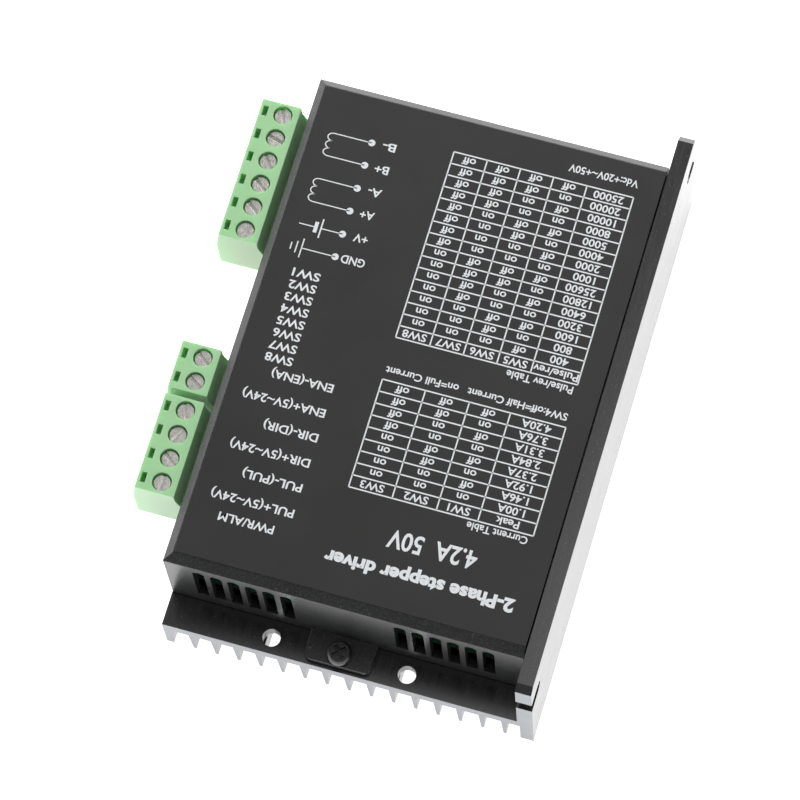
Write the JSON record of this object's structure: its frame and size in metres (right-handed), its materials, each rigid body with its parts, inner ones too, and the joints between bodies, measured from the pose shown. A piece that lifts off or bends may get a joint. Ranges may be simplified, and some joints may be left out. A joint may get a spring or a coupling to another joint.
{
  "type": "stepper motor driver module",
  "caption": "Stepper motor driver with a finned L-shaped heatsink, a black vented cover with a printed label, pluggable green screw terminals, selector levers and status lamps.",
  "frame": {"origin": "on the tip of the middle fin, at the middle of the heatsink's length and width", "axes": "+Z out of the printed label, +Y along the extrusion from the title end of the label, +X out of the tall heatsink wall; the terminals are on the -X side"},
  "size_m": [0.0864, 0.118, 0.034],
  "materials": {
    "anodised_aluminium": "black anodised, satin, with bare saw-cut ends",
    "cover_plastic": "black moulded plastic with a fine spark texture",
    "label_film": "matt dark grey polyester film",
    "white_print": "matt white screen print",
    "black_screw": "black oxide, semi-gloss",
    "board": "green solder mask, glossy",
    "nylon": "natural white nylon",
    "terminal_plastic": "light green moulded polyamide, satin",
    "terminal_screw_metal": "nickel plated, satin",
    "cage_metal": "nickel plated, bright",
    "switch_plastic": "red moulded plastic, satin",
    "lever_plastic": "white moulded plastic",
    "lamp_green": "tinted clear epoxy, glossy",
    "lamp_red": "tinted clear epoxy, glossy",
    "capacitor_sleeve": "shrink sleeve, glossy",
    "moulded_epoxy": "black moulded epoxy, matt",
    "clamp_steel": "zinc plated sheet steel",
    "thermal_pad": "grey silicone pad, matt"
  },
  "bodies": {
    "housing": {"heatsink": "anodised_aluminium", "cover": "cover_plastic", "label_film": "label_film", "cover_screw_near": "black_screw", "cover_screw_far": "black_screw", "main_board": "board", "board_spacer_1": "nylon", "board_spacer_2": "nylon", "board_spacer_3": "nylon", "board_spacer_4": "nylon", "motor_header": "terminal_plastic", "enable_header": "terminal_plastic", "signal_header": "terminal_plastic", "selector_switch_body": "switch_plastic", "power_lamp": "lamp_green", "alarm_lamp": "lamp_red", "bulk_capacitor_1": "capacitor_sleeve", "bulk_capacitor_2": "capacitor_sleeve", "half_bridge_1": "moulded_epoxy", "half_bridge_2": "moulded_epoxy", "half_bridge_3": "moulded_epoxy", "half_bridge_4": "moulded_epoxy", "clamp_bar": "clamp_steel", "thermal_pad": "thermal_pad", "controller_chip": "moulded_epoxy"},
    "motor_plug": {"motor_plug": "terminal_plastic"},
    "enable_plug": {"enable_plug": "terminal_plastic"},
    "signal_plug": {"signal_plug": "terminal_plastic"},
    "terminal_screw_01": {"terminal_screw_01": "terminal_screw_metal"},
    "clamp_cage_01": {"clamp_cage_01": "cage_metal"},
    "terminal_screw_02": {"terminal_screw_02": "terminal_screw_metal"},
    "clamp_cage_02": {"clamp_cage_02": "cage_metal"},
    "terminal_screw_03": {"terminal_screw_03": "terminal_screw_metal"},
    "clamp_cage_03": {"clamp_cage_03": "cage_metal"},
    "terminal_screw_04": {"terminal_screw_04": "terminal_screw_metal"},
    "clamp_cage_04": {"clamp_cage_04": "cage_metal"},
    "terminal_screw_05": {"terminal_screw_05": "terminal_screw_metal"},
    "clamp_cage_05": {"clamp_cage_05": "cage_metal"},
    "terminal_screw_06": {"terminal_screw_06": "terminal_screw_metal"},
    "clamp_cage_06": {"clamp_cage_06": "cage_metal"},
    "terminal_screw_07": {"terminal_screw_07": "terminal_screw_metal"},
    "clamp_cage_07": {"clamp_cage_07": "cage_metal"},
    "terminal_screw_08": {"terminal_screw_08": "terminal_screw_metal"},
    "clamp_cage_08": {"clamp_cage_08": "cage_metal"},
    "terminal_screw_09": {"terminal_screw_09": "terminal_screw_metal"},
    "clamp_cage_09": {"clamp_cage_09": "cage_metal"},
    "terminal_screw_10": {"terminal_screw_10": "terminal_screw_metal"},
    "clamp_cage_10": {"clamp_cage_10": "cage_metal"},
    "terminal_screw_11": {"terminal_screw_11": "terminal_screw_metal"},
    "clamp_cage_11": {"clamp_cage_11": "cage_metal"},
    "terminal_screw_12": {"terminal_screw_12": "terminal_screw_metal"},
    "clamp_cage_12": {"clamp_cage_12": "cage_metal"},
    "selector_lever_1": {"selector_lever_1": "lever_plastic"},
    "selector_lever_2": {"selector_lever_2": "lever_plastic"},
    "selector_lever_3": {"selector_lever_3": "lever_plastic"},
    "selector_lever_4": {"selector_lever_4": "lever_plastic"},
    "selector_lever_5": {"selector_lever_5": "lever_plastic"},
    "selector_lever_6": {"selector_lever_6": "lever_plastic"},
    "selector_lever_7": {"selector_lever_7": "lever_plastic"},
    "selector_lever_8": {"selector_lever_8": "lever_plastic"}
  },
  "joints": [
    {"name": "motor_plug_pull", "type": "slide", "parent": "housing", "child": "motor_plug", "axis": [-1, 0, 0], "range_m": [0, 0.01]},
    {"name": "enable_plug_pull", "type": "slide", "parent": "housing", "child": "enable_plug", "axis": [-1, 0, 0], "range_m": [0, 0.01]},
    {"name": "signal_plug_pull", "type": "slide", "parent": "housing", "child": "signal_plug", "axis": [-1, 0, 0], "range_m": [0, 0.01]},
    {"name": "terminal_screw_01_turn", "type": "hinge", "parent": "motor_plug", "child": "terminal_screw_01", "pos_m": [-0.04295, 0.04346, 0.0286], "axis": [0, 0, -1], "range_deg": [0, 1440]},
    {"name": "clamp_cage_01_lift", "type": "slide", "parent": "motor_plug", "child": "clamp_cage_01", "axis": [0, 0, 1], "range_m": [0, 0.002]},
    {"name": "terminal_screw_02_turn", "type": "hinge", "parent": "motor_plug", "child": "terminal_screw_02", "pos_m": [-0.04295, 0.03838, 0.0286], "axis": [0, 0, -1], "range_deg": [0, 1440]},
    {"name": "clamp_cage_02_lift", "type": "slide", "parent": "motor_plug", "child": "clamp_cage_02", "axis": [0, 0, 1], "range_m": [0, 0.002]},
    {"name": "terminal_screw_03_turn", "type": "hinge", "parent": "motor_plug", "child": "terminal_screw_03", "pos_m": [-0.04295, 0.0333, 0.0286], "axis": [0, 0, -1], "range_deg": [0, 1440]},
    {"name": "clamp_cage_03_lift", "type": "slide", "parent": "motor_plug", "child": "clamp_cage_03", "axis": [0, 0, 1], "range_m": [0, 0.002]},
    {"name": "terminal_screw_04_turn", "type": "hinge", "parent": "motor_plug", "child": "terminal_screw_04", "pos_m": [-0.04295, 0.02822, 0.0286], "axis": [0, 0, -1], "range_deg": [0, 1440]},
    {"name": "clamp_cage_04_lift", "type": "slide", "parent": "motor_plug", "child": "clamp_cage_04", "axis": [0, 0, 1], "range_m": [0, 0.002]},
    {"name": "terminal_screw_05_turn", "type": "hinge", "parent": "motor_plug", "child": "terminal_screw_05", "pos_m": [-0.04295, 0.02314, 0.0286], "axis": [0, 0, -1], "range_deg": [0, 1440]},
    {"name": "clamp_cage_05_lift", "type": "slide", "parent": "motor_plug", "child": "clamp_cage_05", "axis": [0, 0, 1], "range_m": [0, 0.002]},
    {"name": "terminal_screw_06_turn", "type": "hinge", "parent": "motor_plug", "child": "terminal_screw_06", "pos_m": [-0.04295, 0.01806, 0.0286], "axis": [0, 0, -1], "range_deg": [0, 1440]},
    {"name": "clamp_cage_06_lift", "type": "slide", "parent": "motor_plug", "child": "clamp_cage_06", "axis": [0, 0, 1], "range_m": [0, 0.002]},
    {"name": "terminal_screw_07_turn", "type": "hinge", "parent": "enable_plug", "child": "terminal_screw_07", "pos_m": [-0.04295, -0.00991, 0.0286], "axis": [0, 0, -1], "range_deg": [0, 1440]},
    {"name": "clamp_cage_07_lift", "type": "slide", "parent": "enable_plug", "child": "clamp_cage_07", "axis": [0, 0, 1], "range_m": [0, 0.002]},
    {"name": "terminal_screw_08_turn", "type": "hinge", "parent": "enable_plug", "child": "terminal_screw_08", "pos_m": [-0.04295, -0.01499, 0.0286], "axis": [0, 0, -1], "range_deg": [0, 1440]},
    {"name": "clamp_cage_08_lift", "type": "slide", "parent": "enable_plug", "child": "clamp_cage_08", "axis": [0, 0, 1], "range_m": [0, 0.002]},
    {"name": "terminal_screw_09_turn", "type": "hinge", "parent": "signal_plug", "child": "terminal_screw_09", "pos_m": [-0.04295, -0.02124, 0.0286], "axis": [0, 0, -1], "range_deg": [0, 1440]},
    {"name": "clamp_cage_09_lift", "type": "slide", "parent": "signal_plug", "child": "clamp_cage_09", "axis": [0, 0, 1], "range_m": [0, 0.002]},
    {"name": "terminal_screw_10_turn", "type": "hinge", "parent": "signal_plug", "child": "terminal_screw_10", "pos_m": [-0.04295, -0.02632, 0.0286], "axis": [0, 0, -1], "range_deg": [0, 1440]},
    {"name": "clamp_cage_10_lift", "type": "slide", "parent": "signal_plug", "child": "clamp_cage_10", "axis": [0, 0, 1], "range_m": [0, 0.002]},
    {"name": "terminal_screw_11_turn", "type": "hinge", "parent": "signal_plug", "child": "terminal_screw_11", "pos_m": [-0.04295, -0.0314, 0.0286], "axis": [0, 0, -1], "range_deg": [0, 1440]},
    {"name": "clamp_cage_11_lift", "type": "slide", "parent": "signal_plug", "child": "clamp_cage_11", "axis": [0, 0, 1], "range_m": [0, 0.002]},
    {"name": "terminal_screw_12_turn", "type": "hinge", "parent": "signal_plug", "child": "terminal_screw_12", "pos_m": [-0.04295, -0.03648, 0.0286], "axis": [0, 0, -1], "range_deg": [0, 1440]},
    {"name": "clamp_cage_12_lift", "type": "slide", "parent": "signal_plug", "child": "clamp_cage_12", "axis": [0, 0, 1], "range_m": [0, 0.002]},
    {"name": "selector_lever_1_slide", "type": "slide", "parent": "housing", "child": "selector_lever_1", "axis": [0, 0, 1], "range_m": [0, 0.0016]},
    {"name": "selector_lever_2_slide", "type": "slide", "parent": "housing", "child": "selector_lever_2", "axis": [0, 0, 1], "range_m": [0, 0.0016]},
    {"name": "selector_lever_3_slide", "type": "slide", "parent": "housing", "child": "selector_lever_3", "axis": [0, 0, 1], "range_m": [0, 0.0016]},
    {"name": "selector_lever_4_slide", "type": "slide", "parent": "housing", "child": "selector_lever_4", "axis": [0, 0, 1], "range_m": [0, 0.0016]},
    {"name": "selector_lever_5_slide", "type": "slide", "parent": "housing", "child": "selector_lever_5", "axis": [0, 0, 1], "range_m": [0, 0.0016]},
    {"name": "selector_lever_6_slide", "type": "slide", "parent": "housing", "child": "selector_lever_6", "axis": [0, 0, 1], "range_m": [0, 0.0016]},
    {"name": "selector_lever_7_slide", "type": "slide", "parent": "housing", "child": "selector_lever_7", "axis": [0, 0, 1], "range_m": [0, 0.0016]},
    {"name": "selector_lever_8_slide", "type": "slide", "parent": "housing", "child": "selector_lever_8", "axis": [0, 0, 1], "range_m": [0, 0.0016]}
  ],
  "couplings": [
    {"joint": "terminal_screw_01_turn", "follows": "clamp_cage_01_lift", "rad_per_m": 12566},
    {"joint": "terminal_screw_02_turn", "follows": "clamp_cage_02_lift", "rad_per_m": 12566},
    {"joint": "terminal_screw_03_turn", "follows": "clamp_cage_03_lift", "rad_per_m": 12566},
    {"joint": "terminal_screw_04_turn", "follows": "clamp_cage_04_lift", "rad_per_m": 12566},
    {"joint": "terminal_screw_05_turn", "follows": "clamp_cage_05_lift", "rad_per_m": 12566},
    {"joint": "terminal_screw_06_turn", "follows": "clamp_cage_06_lift", "rad_per_m": 12566},
    {"joint": "terminal_screw_07_turn", "follows": "clamp_cage_07_lift", "rad_per_m": 12566},
    {"joint": "terminal_screw_08_turn", "follows": "clamp_cage_08_lift", "rad_per_m": 12566},
    {"joint": "terminal_screw_09_turn", "follows": "clamp_cage_09_lift", "rad_per_m": 12566},
    {"joint": "terminal_screw_10_turn", "follows": "clamp_cage_10_lift", "rad_per_m": 12566},
    {"joint": "terminal_screw_11_turn", "follows": "clamp_cage_11_lift", "rad_per_m": 12566},
    {"joint": "terminal_screw_12_turn", "follows": "clamp_cage_12_lift", "rad_per_m": 12566}
  ]
}
